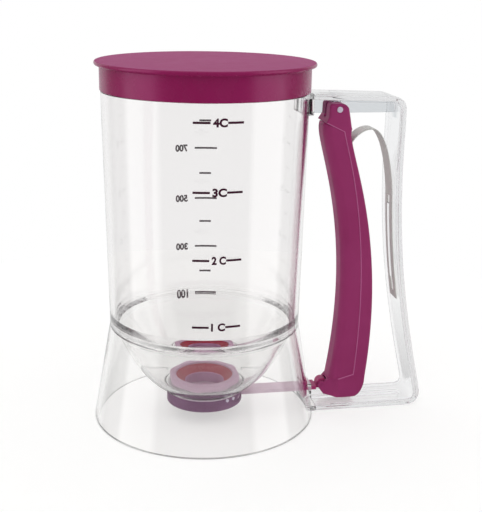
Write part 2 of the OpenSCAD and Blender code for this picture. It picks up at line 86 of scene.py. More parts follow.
def make_camera():
    data = bpy.data.cameras.new("camera")
    data.lens = CAMERA_LENS
    data.sensor_fit = "VERTICAL"
    data.sensor_height = SENSOR
    data.sensor_width = SENSOR
    data.clip_start = 0.01
    data.clip_end = 200
    level_right = CAMERA_FORWARD.cross(Vector((0, 0, 1))).normalized()
    level_up = level_right.cross(CAMERA_FORWARD)
    right = math.cos(CAMERA_ROLL) * level_right + math.sin(CAMERA_ROLL) * level_up
    up = math.cos(CAMERA_ROLL) * level_up - math.sin(CAMERA_ROLL) * level_right
    camera = bpy.data.objects.new("camera", data)
    turn = Matrix((right, up, -CAMERA_FORWARD)).transposed().to_4x4()
    camera.matrix_world = Matrix.Translation(CAMERA_PLACE * MM) @ turn
    bpy.context.scene.collection.objects.link(camera)
    bpy.context.scene.camera = camera


# --------------------------------------------------
# Node helpers
# --------------------------------------------------

class Nodes:
    """A short way to write a node tree. An input is another node's output, or a value."""

    def __init__(self, tree, empty=True):
        self.tree = tree
        if empty:
            tree.nodes.clear()

    def link(self, output, socket):
        self.tree.links.new(output, socket)

    def add(self, kind, inputs=None, **settings):
        made = self.tree.nodes.new(kind)
        for key, value in settings.items():
            setattr(made, key, value)
        for key, value in (inputs or {}).items():
            if isinstance(value, bpy.types.NodeSocket):
                self.link(value, made.inputs[key])
            else:
                made.inputs[key].default_value = value
        return made

    def find(self, kind):
        """The node of a kind that the tree has one of."""
        return next(node for node in self.tree.nodes if node.type == kind)

    def math(self, operation, a, b):
        return self.add("ShaderNodeMath", {0: a, 1: b}, operation=operation).outputs[0]

    def split(self, vector):
        """The X, Y and Z of a vector."""
        return list(self.add("ShaderNodeSeparateXYZ", {0: vector}).outputs)

    def mix(self, factor, a, b):
        """Two colours mixed."""
        return self.add("ShaderNodeMix", {0: factor, 6: a, 7: b}, data_type="RGBA").outputs[2]

    def ramp(self, factor, stops):
        """A ramp of grey levels or colours, as (place, value) pairs."""
        made = self.add("ShaderNodeValToRGB", {"Fac": factor})
        elements = made.color_ramp.elements
        while len(elements) < len(stops):
            elements.new(0.5)
        for element, (place, value) in zip(elements, stops):
            element.position = place
            element.color = (*value, 1.0) if isinstance(value, tuple) else grey(value)
        return made.outputs["Color"]


def grey(level):
    return (level, level, level, 1.0)


def srgb(text):
    """The linear colour of a hex colour as it is seen on a screen."""
    parts = [int(text[i:i + 2], 16) / 255 for i in (1, 3, 5)]
    return tuple(p / 12.92 if p <= 0.04045 else ((p + 0.055) / 1.055) ** 2.4 for p in parts)


# --------------------------------------------------
# Stage: a pale floor in a white studio. What shines sees the studio's two side panels and its dark
# camera side. A look through a clear wall sees it paler, and what is lit gets almost even light.
# --------------------------------------------------

# Levels of the studio's sides as each of the three sees them. Sunk is how far under the horizon,
# as a sine, underneath starts.
SHINE_ROOM = {
    "behind": 0.8, "flag": 0.3, "panel": 2.1, "camera_side": 0.1,
    "overhead": 0.9, "underneath": 0.1, "sunk": 0.4}
CLEAR_ROOM = {
    "behind": 1.0, "flag": 0.5, "panel": 1.1, "camera_side": 0.45,
    "overhead": 1.0, "underneath": 1.0, "sunk": 0.02}
PLAIN_ROOM = {
    "behind": 1.1, "flag": 1.1, "panel": 1.15, "camera_side": 1.05,
    "overhead": 1.1, "underneath": 1.1, "sunk": 0.4}

# Where the sides start and end, in degrees off the camera
FLAG_START = 130
PANEL_START = 95
PANEL_END = 52
SIDE_SOFT = 4

# How far from the horizon overhead starts and is full and how softly underneath starts, as sines
OVERHEAD_START = 0.55
OVERHEAD_FULL = 0.8
UNDERNEATH_SOFT = 0.1

# The floor lights the object as FLOOR_COLOUR. Where it is looked at, it is FLOOR_SHADE and glows.
FLOOR_R = 320.0
FLOOR_SIDES = 128
FLOOR_COLOUR = 0.8
FLOOR_SHADE = 0.48
FLOOR_GLOW = 0.5
GLOW_COLOUR = (1.0, 1.0, 0.985, 1.0)

# Light turns many times inside a clear wall before it leaves it, so the walls need this many bounces
WALL_BOUNCES = 96


def turn_share(degrees):
    """The share of the way from straight behind the object to the camera, at an angle off the camera."""
    return (1 + math.cos(math.radians(degrees))) / 2


def room(n, share, rise, behind, flag, panel, camera_side, overhead, underneath, sunk):
    """The background of a studio with these levels."""
    stops = []
    for start, before, after in (
            (FLAG_START, behind, flag), (PANEL_START, flag, panel), (PANEL_END, panel, camera_side)):
        stops += [(turn_share(start + SIDE_SOFT), before), (turn_share(start - SIDE_SOFT), after)]
    high = n.ramp(rise, [(OVERHEAD_START, 0.0), (OVERHEAD_FULL, 1.0)])
    low = n.ramp(n.math("MULTIPLY", rise, -1.0), [(sunk, 0.0), (sunk + UNDERNEATH_SOFT, 1.0)])
    level = n.mix(high, n.ramp(share, stops), grey(overhead))
    level = n.mix(low, level, grey(underneath))
    return n.add("ShaderNodeBackground", {"Color": level}).outputs[0]


def make_world():
    """White to the camera. What shines, what is seen through and what is lit each get their room."""
    world = bpy.data.worlds.new("studio")
    bpy.context.scene.world = world
    world.use_nodes = True
    world.cycles.sampling_method = "NONE"
    n = Nodes(world.node_tree)
    x, y, rise = n.split(n.add("ShaderNodeTexCoord").outputs["Generated"])
    level = n.add("ShaderNodeCombineXYZ", {0: x, 1: y}).outputs[0]
    level = n.add("ShaderNodeVectorMath", {0: level}, operation="NORMALIZE").outputs[0]
    towards = Vector((CAMERA_PLACE.x, CAMERA_PLACE.y, 0)).normalized()
    facing = n.add("ShaderNodeVectorMath", {0: level, 1: towards}, operation="DOT_PRODUCT").outputs["Value"]
    share = n.math("MULTIPLY", n.math("ADD", facing, 1.0), 0.5)
    path = n.add("ShaderNodeLightPath")
    plain = room(n, share, rise, **PLAIN_ROOM)
    light = plain
    for ray, seen in (
            ("Is Glossy Ray", room(n, share, rise, **SHINE_ROOM)),
            ("Is Transmission Ray", room(n, share, rise, **CLEAR_ROOM)),
            ("Is Camera Ray", n.add("ShaderNodeBackground", {"Color": grey(1.0)}).outputs[0])):
        light = n.add("ShaderNodeMixShader", {0: path.outputs[ray], 1: light, 2: seen}).outputs[0]
    lit = n.math("MINIMUM", path.outputs["Diffuse Depth"], 1.0)
    light = n.add("ShaderNodeMixShader", {0: lit, 1: light, 2: plain}).outputs[0]
    n.add("ShaderNodeOutputWorld", {"Surface": light})


def make_floor():
    """A matt floor that glows a little where it is looked at, so that it and its shadows are pale."""
    mesh = bpy.data.meshes.new("floor")
    turns = [2 * math.pi * k / FLOOR_SIDES for k in range(FLOOR_SIDES)]
    rim = [Vector((math.cos(turn), math.sin(turn), 0)) * FLOOR_R * MM for turn in turns]
    mesh.from_pydata(rim, [], [tuple(range(FLOOR_SIDES))])
    floor = bpy.data.objects.new("floor", mesh)
    bpy.context.scene.collection.objects.link(floor)
    material = bpy.data.materials.new("floor_white")
    material.use_nodes = True
    n = Nodes(material.node_tree)
    path = n.add("ShaderNodeLightPath")
    looked_at = n.math("MAXIMUM", path.outputs["Is Camera Ray"], path.outputs["Is Transmission Ray"])
    colour = n.ramp(looked_at, [(0.0, FLOOR_COLOUR), (1.0, FLOOR_SHADE)])
    matt = n.add("ShaderNodeBsdfDiffuse", {"Color": colour})
    strength = n.math("MULTIPLY", looked_at, FLOOR_GLOW)
    glow = n.add("ShaderNodeEmission", {"Color": GLOW_COLOUR, "Strength": strength})
    both = n.add("ShaderNodeAddShader", {0: matt.outputs[0], 1: glow.outputs[0]})
    n.add("ShaderNodeOutputMaterial", {"Surface": both.outputs[0]})
    mesh.materials.append(material)
    floor.visible_glossy = False


def make_render_settings():
    scene = bpy.context.scene
    scene.view_settings.view_transform = "Standard"
    cycles = scene.cycles
    for kind in ("max_bounces", "transmission_bounces", "glossy_bounces"):
        setattr(cycles, kind, WALL_BOUNCES)
    cycles.diffuse_bounces = 4
    cycles.transparent_max_bounces = 16
    # A blur here would make clear walls frosted for the light on what stands inside them
    cycles.blur_glossy = 0.0


# --------------------------------------------------
# Materials
# --------------------------------------------------

# The jug and the foot are one clear plastic. The foot's tint is paler than the jug's: painted light that
# lifts the shade of the floor and of the extra walls seen through the foot.
JUG_TINT = (0.958, 0.951, 0.949)
FOOT_TINT_PAINTED_LIGHT = (0.978, 0.976, 0.972)
BAND_TINT = (0.92, 0.925, 0.932)
WEB_PAINTED_SHADE = (0.7, 0.725, 0.745)
CLEAR_ABSORBS = (0.02, 0.0, 0.02, 1)
CLEAR_DENSITY = 6.0
# How far the web's painted shade reaches to each side of its middle, and under its lower edge
WEB_REACH = 2.9
DYED_SHINE = (1.0, 0.58, 0.88, 1.0)
DYED_CLOUD = 45.0
# The rod's two pairs of shades, and where it turns from one to the other on a ramp along X. The bar's pale
# pair is painted light, for the veil that the skirt's clear wall lays over the bar.
ROD_BAR_PAINTED_VEIL = ("#bba3b1", "#c1a9b7")
ROD_END = ("#932d5c", "#993362")
ROD_TURN_X = 58.6
ROD_TURN_HALF = 0.3
ROD_SPAN = 100.0


def shader(name, colour, roughness, **sockets):
    """A material with a Principled shader. Returns the material, its nodes and the shader."""
    material = bpy.data.materials.new(name)
    material.use_nodes = True
    n = Nodes(material.node_tree)
    bsdf = n.add("ShaderNodeBsdfPrincipled", {"Base Color": (*colour, 1), "Roughness": roughness})
    for key, value in sockets.items():
        bsdf.inputs[key.replace("_", " ")].default_value = value
    n.add("ShaderNodeOutputMaterial", {"Surface": bsdf.outputs[0]})
    return material, n, bsdf


def noise(n, scale, detail, stretch=(1, 1, 1)):
    """A noise that stays on the object, finer along an axis with a larger stretch."""
    place = n.add("ShaderNodeTexCoord").outputs["Object"]
    if stretch != (1, 1, 1):
        place = n.add("ShaderNodeVectorMath", {0: place, 1: stretch}, operation="MULTIPLY").outputs[0]
    return n.add("ShaderNodeTexNoise", {"Vector": place, "Scale": scale, "Detail": detail}).outputs[0]


def spread(n, factor, low, high):
    """A value or a colour that runs from low to high over the middle of a noise."""
    return n.ramp(factor, [(0.3, low), (0.7, high)])


def bump(n, bsdf, height, distance, strength):
    """Raises a shader's surface by a noise."""
    made = n.add("ShaderNodeBump", {"Strength": strength, "Distance": distance, "Height": height})
    n.link(made.outputs[0], bsdf.inputs["Normal"])


def within(n, value, low, high):
    """1 where a value is between two others in millimetres, 0 elsewhere."""
    return n.math(
        "MULTIPLY", n.math("GREATER_THAN", value, low * MM), n.math("LESS_THAN", value, high * MM))


def clear_plastic(name, tint):
    """Clear moulded plastic: a faint waviness, and a little grey where one looks along a wall."""
    material, n, bsdf = shader(name, tint, 0.012, Transmission_Weight=1.0, IOR=1.55)
    bump(n, bsdf, noise(n, 26.0, 1.0), 0.18 * MM, 0.35)
    absorbs = n.add("ShaderNodeVolumeAbsorption", {"Color": CLEAR_ABSORBS, "Density": CLEAR_DENSITY})
    n.link(absorbs.outputs[0], n.find("OUTPUT_MATERIAL").inputs["Volume"])
    return material


def clear_handle(name):
    """The clear plastic of the handle, with a greyer tint in its web that is painted shade."""
    material = clear_plastic(name, BAND_TINT)
    n = Nodes(material.node_tree, empty=False)
    x, y, z = n.split(n.add("ShaderNodeTexCoord").outputs["Object"])
    in_web = n.math(
        "MULTIPLY", within(n, y, -WEB_REACH, WEB_REACH),
        within(n, z, WEB_Z - WEB_REACH, ARM_Z - BAND_T - BOND))
    in_web = n.math("MULTIPLY", in_web, n.math("GREATER_THAN", x, TOP_PAD_X * MM))
    # The web's greyer tint is painted shade
    tint = n.ramp(in_web, [(0.0, BAND_TINT), (1.0, WEB_PAINTED_SHADE)])
    n.link(tint, n.find("BSDF_PRINCIPLED").inputs["Base Color"])
    return material


def dyed_plastic(name, dark, light, roughness, gloss=0.25, sheen=0.12):
    """Opaque moulded plastic: a faint cloud in the colour, and a fine matt grain."""
    material, n, bsdf = shader(
        name, srgb(dark), roughness, IOR=1.5, Specular_Tint=DYED_SHINE, Specular_IOR_Level=gloss,
        Sheen_Weight=sheen, Sheen_Roughness=0.35, Sheen_Tint=DYED_SHINE)
    n.link(spread(n, noise(n, DYED_CLOUD, 3.0), srgb(dark), srgb(light)), bsdf.inputs["Base Color"])
    wear = spread(n, noise(n, 160.0, 3.0), roughness - 0.05, roughness + 0.05)
    n.link(wear, bsdf.inputs["Roughness"])
    bump(n, bsdf, noise(n, 1900.0, 2.0), 0.02 * MM, 0.1)
    return material


def rod_plastic(name):
    """The rod's plastic: mauve along the bar like the gate, painted paler there for the veil of light that
    the skirt's clear wall lays over it, and dyed like the trigger at its eye.
    """
    material = dyed_plastic(name, *ROD_BAR_PAINTED_VEIL, 0.36)
    n = Nodes(material.node_tree, empty=False)
    base = n.find("BSDF_PRINCIPLED").inputs["Base Color"]
    bar = base.links[0].from_socket
    eye = spread(n, noise(n, DYED_CLOUD, 3.0), srgb(ROD_END[0]), srgb(ROD_END[1]))
    x = n.split(n.add("ShaderNodeTexCoord").outputs["Object"])[0]
    at_eye = n.ramp(n.math("DIVIDE", x, ROD_SPAN * MM), [
        ((ROD_TURN_X - ROD_TURN_HALF) / ROD_SPAN, 0.0), ((ROD_TURN_X + ROD_TURN_HALF) / ROD_SPAN, 1.0)])
    # The bar's pale shades are painted light
    n.link(n.mix(at_eye, bar, eye), base)
    return material


def silicone(name, dark, light):
    """Soft silicone rubber: a fine cloud in the colour, and a faint unevenness."""
    material, n, bsdf = shader(name, srgb(dark), 0.42, IOR=1.43)
    n.link(spread(n, noise(n, 220.0, 2.0), srgb(dark), srgb(light)), bsdf.inputs["Base Color"])
    bump(n, bsdf, noise(n, 900.0, 2.0), 0.03 * MM, 0.3)
    return material


def steel(name, colour, roughness, scale, stretch=(1, 1, 1)):
    """Dull steel with a brushed grain that runs across the axis of the largest stretch."""
    material, n, bsdf = shader(name, srgb(colour), roughness, Metallic=0.3)
    grain = noise(n, scale, 3.0, stretch)
    n.link(spread(n, grain, roughness - 0.08, roughness + 0.1), bsdf.inputs["Roughness"])
    bump(n, bsdf, grain, 0.01 * MM, 0.4)
    return material


# Each finish with the function that makes it and what that is given after the name
FINISHES = {
    "clear_plastic": (clear_plastic, FOOT_TINT_PAINTED_LIGHT),
    "clear_jug": (clear_plastic, JUG_TINT),
    "clear_handle": (clear_handle,),
    "lid_plastic": (dyed_plastic, "#7b1046", "#80154c", 0.26, 0.36, 0.12),
    # The lid top's finish is matt, and its paler base is painted light for the reflection the top shows at a
    # low angle
    "lid_top_painted_light": (dyed_plastic, "#842154", "#88275a", 0.6, 0.02, 0.2),
    "trigger_plastic": (dyed_plastic, "#862c5a", "#8b3160", 0.48, 0.12),
    # The seam's paler finish is a painted highlight along the parting line
    "trigger_seam_highlight": (dyed_plastic, "#ab5a87", "#b0608c", 0.45),
    "rod_plastic": (rod_plastic,),
    "valve_plastic": (dyed_plastic, "#6c4766", "#744e6e", 0.38),
    "nut_plastic": (dyed_plastic, "#c1a1b6", "#c8a9be", 0.42),
    "ink": (dyed_plastic, "#33101f", "#3d1628", 0.5),
    "seal_rubber": (silicone, "#9c1c36", "#a6243f"),
    "seal_bore": (silicone, "#ba86aa", "#c290b4"),
    "gasket_rubber": (silicone, "#e3d7df", "#ece2e9"),
    "pin_steel": (steel, "#cfc6d6", 0.42, 900.0),
    "spring_steel": (steel, "#c8c7c3", 0.46, 120.0, (1, 40, 1)),
}


def make_materials():
    return {name: make(name, *values) for name, (make, *values) in FINISHES.items()}


def dress_nodes():
    """Each CAD node takes the finish of its slot."""
    slots = {part["node"]: part["material_slot"] for part in frame["record"]["subparts"]}
    for name, node in frame["nodes"].items():
        for slot in node.material_slots:
            slot.material = MATERIALS[slots[name]]


# --------------------------------------------------
# Adding pieces
# --------------------------------------------------

# Edges that turn by more than this stay sharp
SHARP = math.radians(32)


def evaluated(holder):
    """The mesh of an object with its modifiers applied. The object and its own data go."""
    bpy.context.scene.collection.objects.link(holder)
    bpy.context.view_layer.update()
    result = bpy.data.meshes.new_from_object(holder.evaluated_get(bpy.context.evaluated_depsgraph_get()))
    bpy.data.batch_remove([holder, holder.data])
    return result


def even_normals(mesh):
    """Lets the large faces lead the shading, so that a flat wall stays flat up to its rounded rims
    and what is seen through it stays in place."""
    holder = bpy.data.objects.new("holder", mesh)
    step = holder.modifiers.new("even", "WEIGHTED_NORMAL")
    step.keep_sharp = True
    return evaluated(holder)


def add_piece(name, mesh, body, slot, *nodes, material=None):
    """Adds a mesh in millimetres as a piece that rides on a body and stands for CAD nodes."""
    mesh.polygons.foreach_set("use_smooth", [True] * len(mesh.polygons))
    mesh.set_sharp_from_angle(angle=SHARP)
    mesh = even_normals(mesh)
    mesh.name = name
    mesh.transform(Matrix.Scale(MM, 4))
    mesh.materials.clear()
    mesh.materials.append(MATERIALS[material or slot])
    piece = bpy.data.objects.new(name, mesh)
    bpy.context.scene.collection.objects.link(piece)
    if body:
        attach(piece, body)
    if nodes:
        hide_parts(*nodes)
    return piece


def second_finish(piece, name, is_second):
    """Gives a second finish to the faces that a test picks."""
    piece.data.materials.append(MATERIALS[name])
    for face in piece.data.polygons:
        face.material_index = 1 if is_second(face) else 0


# --------------------------------------------------
# Paths
# --------------------------------------------------

# The least that a mitred corner leans, as a cosine, so that a sharp one doesn't shoot out
OUTLINE_LEAN = 0.6
PATH_LEAN = 0.5
# The most of a side that the arc at one of its ends takes up
MOST_OF_SIDE = 0.49


def rounded(corners, steps=5):
    """A path of (a, b, r) corners in a plane, each rounded with an arc of radius r."""
    path = []
    for i, (a, b, r) in enumerate(corners):
        here = Vector((a, b))
        if r == 0:
            path.append((a, b))
            continue
        before = Vector(corners[i - 1][:2]) - here
        after = Vector(corners[(i + 1) % len(corners)][:2]) - here
        half = before.angle(after) / 2
        reach = min(r / math.tan(half), before.length * MOST_OF_SIDE, after.length * MOST_OF_SIDE)
        start = here + before.normalized() * reach
        end = here + after.normalized() * reach
        middle = here + (before.normalized() + after.normalized()).normalized() * reach / math.cos(half)
        radius = reach * math.tan(half)
        first = (start - middle).normalized()
        last = (end - middle).normalized()
        for k in range(steps + 1):
            at = middle + first.lerp(last, k / steps).normalized() * radius
            path.append((at.x, at.y))
    return path


def bezier(points, steps, start=0.0, end=1.0):
    """Points along a Bezier curve of any degree, from one share of it to another."""
    path = []
    for i in range(steps + 1):
        t = start + (end - start) * i / steps
        level = [Vector(p) for p in points]
        while len(level) > 1:
            level = [a.lerp(b, t) for a, b in zip(level, level[1:])]
        path.append(tuple(level[0]))
    return path


def closed_normals(outline):
    """The inward normal at each corner of a closed outline, long enough to keep an even inset."""
    count = len(outline)
    area = sum(a[0] * b[1] - b[0] * a[1] for a, b in zip(outline, outline[1:] + outline[:1]))
    sign = 1 if area > 0 else -1
    normals = []
    for i in range(count):
        before = (Vector(outline[i]) - Vector(outline[i - 1])).normalized()
        after = (Vector(outline[(i + 1) % count]) - Vector(outline[i])).normalized()
        inward = Vector((-(before.y + after.y), before.x + after.x)) * sign
        inward.normalize()
        lean = Vector((-before.y, before.x)).dot(inward) * sign
        normals.append(inward / max(OUTLINE_LEAN, lean))
    return normals


def side_normals(path):
    """The right-hand normal at each point of an open path, mitred."""
    normals = []
    last = len(path) - 1
    for i in range(len(path)):
        a = (Vector(path[max(i, 1)]) - Vector(path[max(i, 1) - 1])).normalized()
        b = (Vector(path[min(i, last - 1) + 1]) - Vector(path[min(i, last - 1)])).normalized()
        middle = Vector((a.y + b.y, -(a.x + b.x))).normalized()
        normals.append(middle / max(PATH_LEAN, middle.dot(Vector((a.y, -a.x)))))
    return normals


def inset(path, distance):
    """An open path moved to its right-hand side."""
    return [(p[0] + n.x * distance, p[1] + n.y * distance) for p, n in zip(path, side_normals(path))]


# --------------------------------------------------
# Solids
# --------------------------------------------------

# A lathe's point nearer to the axis than this is on it
ON_AXIS = 1e-6


def outwards(mesh, change=None):
    """The mesh with its faces turned outwards, after a change to its points or faces."""
    bm = bmesh.new()
    bm.from_mesh(mesh)
    if change:
        change(bm)
    bmesh.ops.recalc_face_normals(bm, faces=bm.faces)
    bm.to_mesh(mesh)
    bm.free()
    return mesh


def merged(mesh, reach=1e-2):
    """The mesh with the points that lie on each other joined."""
    return outwards(mesh, lambda bm: bmesh.ops.remove_doubles(bm, verts=bm.verts, dist=reach))


def new_mesh(points, faces):
    """A mesh of points and faces."""
    mesh = bpy.data.meshes.new("shape")
    mesh.from_pydata([tuple(p) for p in points], [], faces)
    return outwards(mesh)


def lathe(profile, segments=256):
    """A closed profile of (radius, z) turned round the Z axis."""
    points, faces, rings = [], [], []
    for r, z in profile:
        if r < ON_AXIS:
            rings.append([len(points)])
            points.append((0, 0, z))
            continue
        rings.append(list(range(len(points), len(points) + segments)))
        for k in range(segments):
            turn = 2 * math.pi * k / segments
            points.append((r * math.cos(turn), r * math.sin(turn), z))
    for i, a in enumerate(rings):
        b = rings[(i + 1) % len(rings)]
        if len(a) == 1 and len(b) == 1:
            continue
        for k in range(segments):
            near, far = k, (k + 1) % segments
            if len(a) == 1:
                faces.append((a[0], b[near], b[far]))
            elif len(b) == 1:
                faces.append((a[near], b[0], a[far]))
            else:
                faces.append((a[near], b[near], b[far], a[far]))
    return new_mesh(points, faces)


def block(low, high, edge=0.0, steps=2):
    """A block between two corners, with its edges rounded."""
    mesh = bpy.data.meshes.new("block")
    bm = bmesh.new()
    bmesh.ops.create_cube(bm, size=1)
    low, high = Vector(low), Vector(high)
    for v in bm.verts:
        v.co = Vector(l + (h - l) * (c + 0.5) for l, h, c in zip(low, high, v.co))
    if edge:
        bmesh.ops.bevel(
            bm, geom=list(bm.edges), offset=edge, offset_type="OFFSET", segments=steps, profile=0.5,
            affect="EDGES")
    bm.to_mesh(mesh)
    bm.free()
    return mesh


def skin(rings, close_ends=True):
    """A tube through rings of as many points each."""
    count = len(rings[0])
    points = [p for ring in rings for p in ring]
    faces = []
    for i in range(len(rings) - 1):
        for k in range(count):
            a, b = i * count + k, i * count + (k + 1) % count
            faces.append((a, b, b + count, a + count))
    if close_ends:
        faces.append(tuple(range(count)))
        faces.append(tuple(len(points) - count + k for k in range(count)))
    return new_mesh(points, faces)


def slab(outline, half, edges, steps=4):
    """A side view in X and Z, thickened to both sides of Y = 0. Its rims are rounded, with one
    radius, or one for each corner of the outline."""
    if not isinstance(edges, list):
        edges = [edges] * len(outline)
    normals = closed_normals(outline)
    rings = []
    for side in (-1, 1):
        for k in range(steps, -1, -1) if side < 0 else range(steps + 1):
            turn = math.pi / 2 * k / steps
            ring = []
            for (x, z), normal, edge in zip(outline, normals, edges):
                moved = normal * edge * (1 - math.cos(turn))
                ring.append((x + moved.x, side * (half - edge + edge * math.sin(turn)), z + moved.y))
            rings.append(ring)
    return skin(rings)


def strip(path, low, high, half, edge, steps=3, shift=0.0):
    """A strip along a path in X and Z: from low to high on its right-hand side, rounded along its
    edges, and shifted across the path."""
    section = rounded([(low, -half, edge), (high, -half, edge), (high, half, edge), (low, half, edge)], steps)
    rings = []
    for p, n in zip(path, side_normals(path)):
        rings.append([(p[0] + n.x * d, y + shift, p[1] + n.y * d) for d, y in section])
    return skin(rings)


def across(x, z, r, low, high, edge, segments=64):
    """A pin across the handle's plane, with rounded rims."""
    mesh = lathe(rounded([(0, low, 0), (r, low, edge), (r, high, edge), (0, high, 0)], 4), segments)
    turn = Matrix.Rotation(math.radians(90), 4, "X") @ Matrix.Scale(-1, 4, (0, 0, 1))
    mesh.transform(Matrix.Translation((x, 0, z)) @ turn)
    mesh.flip_normals()
    return mesh


def combine(base, *others, operation="UNION"):
    """The base mesh with the others joined to it or cut from it."""
    holder = bpy.data.objects.new("holder", base)
    helpers = []
    for other in others:
        helper = bpy.data.objects.new("helper", other)
        bpy.context.scene.collection.objects.link(helper)
        step = holder.modifiers.new("combine", "BOOLEAN")
        step.operation = operation
        step.solver = "EXACT"
        step.object = helper
        helpers.append(helper)
    result = evaluated(holder)
    bpy.data.batch_remove([*helpers, *others])
    return merged(result)


# --------------------------------------------------
# Sizes, from the frame's boxes and the object's own walls
# --------------------------------------------------

def box(node):
    """The low and high corners of a CAD node, in millimetres."""
    low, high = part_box(node)
    return low / MM, high / MM


JUG_LOW, JUG_HIGH = box("jug_wall")
SKIRT_LOW, SKIRT_HIGH = box("base_skirt")
LID_LOW, LID_HIGH = box("lid")
NUT_LOW, NUT_HIGH = box("outlet_nut")
BLADE_LOW, BLADE_HIGH = box("gate_blade")

WALL = 2.4
JUG_R = -JUG_LOW.x
SEAM_Z = JUG_LOW.z
COLLAR_Z = JUG_HIGH.z
SHOULDER_Z = COLLAR_Z - 11.5
COLLAR_R = 51.2
COLLAR_T = 1.2
BASE_R = -SKIRT_LOW.x
WAIST_Z = SKIRT_HIGH.z
WAIST_R = 50.0
RIM_R = WAIST_R - 3.8
PAD_HALF = 12.0
PAD_ROOT = 1.6
TOP_PAD_X = JUG_HIGH.x
LOW_PAD_X = BASE_R + 1.0
BAND_T = 2.8
ARM_Z = SHOULDER_Z - 1.4
WEB_Z = ARM_Z - 10.7
BOND = 0.1
FOOT_LIFT = 0.03


# --------------------------------------------------
# Jug, bowl and skirt
# --------------------------------------------------

BOWL_TOP = Vector((WAIST_R - WALL - 0.2, WAIST_Z))
BOWL_BEND = Vector((36.95, 23.64))
BOWL_LOW = Vector((22.52, 16.04))
BOWL_WALL = 2.2
LAND_Z = NUT_LOW.z
LAND_R = 19.8
FLANGE_Z = LAND_Z - 3.6
OUTLET_R = 17.3
ROD_HALF = 4.5
ROD_GAP = 0.4
SLOT_MARGIN = 1.8


def jug_wall():
    """The wall, thick at the seam, with its collar for the lid and its pad for the handle."""
    inside = bezier([
        (RIM_R, SEAM_Z - BOND), (RIM_R + 0.85, SEAM_Z + 2.1), (WAIST_R - WALL + 0.06, SEAM_Z + 4.4)], 8)
    collar_in = COLLAR_R - COLLAR_T
    shell = lathe(inside + rounded([
        (collar_in, SHOULDER_Z, 3.0), (collar_in, COLLAR_Z, 0.5), (COLLAR_R, COLLAR_Z, 0.5),
        (COLLAR_R, SHOULDER_Z, 0.3), (JUG_R, SHOULDER_Z, 0.4), (WAIST_R, SEAM_Z - BOND, 0)]))
    pad = block((JUG_R - PAD_ROOT, -PAD_HALF, WEB_Z), (TOP_PAD_X, PAD_HALF, ARM_Z), 0.6)
    add_piece(
        "jug_shell", combine(shell, pad), "frame", "clear_plastic", "jug_wall", material="clear_jug")


def bowl():
    """The bowl, with the rim that the jug's wall stands on and a flange round its outlet."""
    outside = bezier([BOWL_TOP, BOWL_BEND, BOWL_LOW], 40)
    inside = []
    for before, here, after in zip(outside[:1] + outside, outside, outside[1:] + outside[-1:]):
        along = (Vector(after) - Vector(before)).normalized()
        inside.append((here[0] + along.y * BOWL_WALL, here[1] - along.x * BOWL_WALL))
    inside = [p for p in inside if LAND_Z + 0.9 < p[1] < WAIST_Z]
    below_rim = [p for p in outside if p[1] < WAIST_Z - 3.4]
    rim_z = WAIST_Z - 1.6
    rim_low_r = skirt_r(rim_z) - WALL + BOND
    add_piece("bowl_shell", lathe(
        [(WAIST_R, SEAM_Z), (WAIST_R, WAIST_Z - BOND), (WAIST_R - WALL + BOND, WAIST_Z - BOND)]
        + bezier([(rim_low_r, rim_z), (rim_low_r - 0.7, rim_z - 1.0), below_rim[0]], 6)
        + below_rim[1:]
        + rounded([(BOWL_LOW.x, FLANGE_Z, 0.4), (OUTLET_R, FLANGE_Z, 0), (OUTLET_R, LAND_Z, 0)])
        + bezier([(LAND_R, LAND_Z), (LAND_R + 2.5, LAND_Z), inside[-1]], 6)
        + inside[::-1][1:]
        + [(RIM_R, SEAM_Z)]), "frame", "clear_plastic", "bowl_funnel")


def skirt_r(z):
    """The radius of the skirt's outside at a height."""
    return BASE_R + (WAIST_R - BASE_R) * z / WAIST_Z


def skirt():
    """The skirt, with its pad for the handle and a collar round the slot for the rod."""
    shell = lathe(rounded([
        (BASE_R, 0, 0.5), (WAIST_R, WAIST_Z, 0), (WAIST_R - WALL, WAIST_Z, 0), (BASE_R - WALL, 0, 0.5)]))
    pad = block((BASE_R - PAD_ROOT, -PAD_HALF, FOOT_LIFT), (LOW_PAD_X, PAD_HALF, BAND_T), 0.5)
    half = ROD_HALF + ROD_GAP
    low_z = BLADE_LOW.z - ROD_GAP
    high_z = BLADE_HIGH.z + ROD_GAP
    face_x = skirt_r((low_z + high_z) / 2) + 1.4
    collar = block(
        (skirt_r(high_z) - 1.5, -half - SLOT_MARGIN, low_z - SLOT_MARGIN),
        (face_x, half + SLOT_MARGIN, high_z + SLOT_MARGIN), 0.7, 3)
    slot = block((WAIST_R - WALL, -half, low_z), (face_x + 2, half, high_z), 0.3)
    mesh = combine(combine(shell, pad, collar), slot, operation="DIFFERENCE")
    add_piece("skirt_shell", mesh, "frame", "clear_plastic", "base_skirt")


# --------------------------------------------------
# Outlet: the ring nut and the seal's funnel inside it
# --------------------------------------------------

NUT_FLATS = 8
NUT_ROUND = 19.3
NUT_HOLE_R = 15.4
NUT_SEGMENTS = 192
SEAL_TOP_Z = LAND_Z + 2.8
SEAL_BEND_Z = LAND_Z - 0.6
SEAL_LOW = Vector((10.6, BLADE_HIGH.z + 0.05))
SEAL_T = 1.8
SEAL_R = 15.7


def flat_r(turn):
    """The radius of the nut's flats at a turn about the axis, with its corners rounded off."""
    step = 2 * math.pi / NUT_FLATS
    off = (turn + step / 2) % step - step / 2
    straight = NUT_HIGH.x / math.cos(off)
    return straight - 0.8 * max(0, straight - NUT_ROUND)


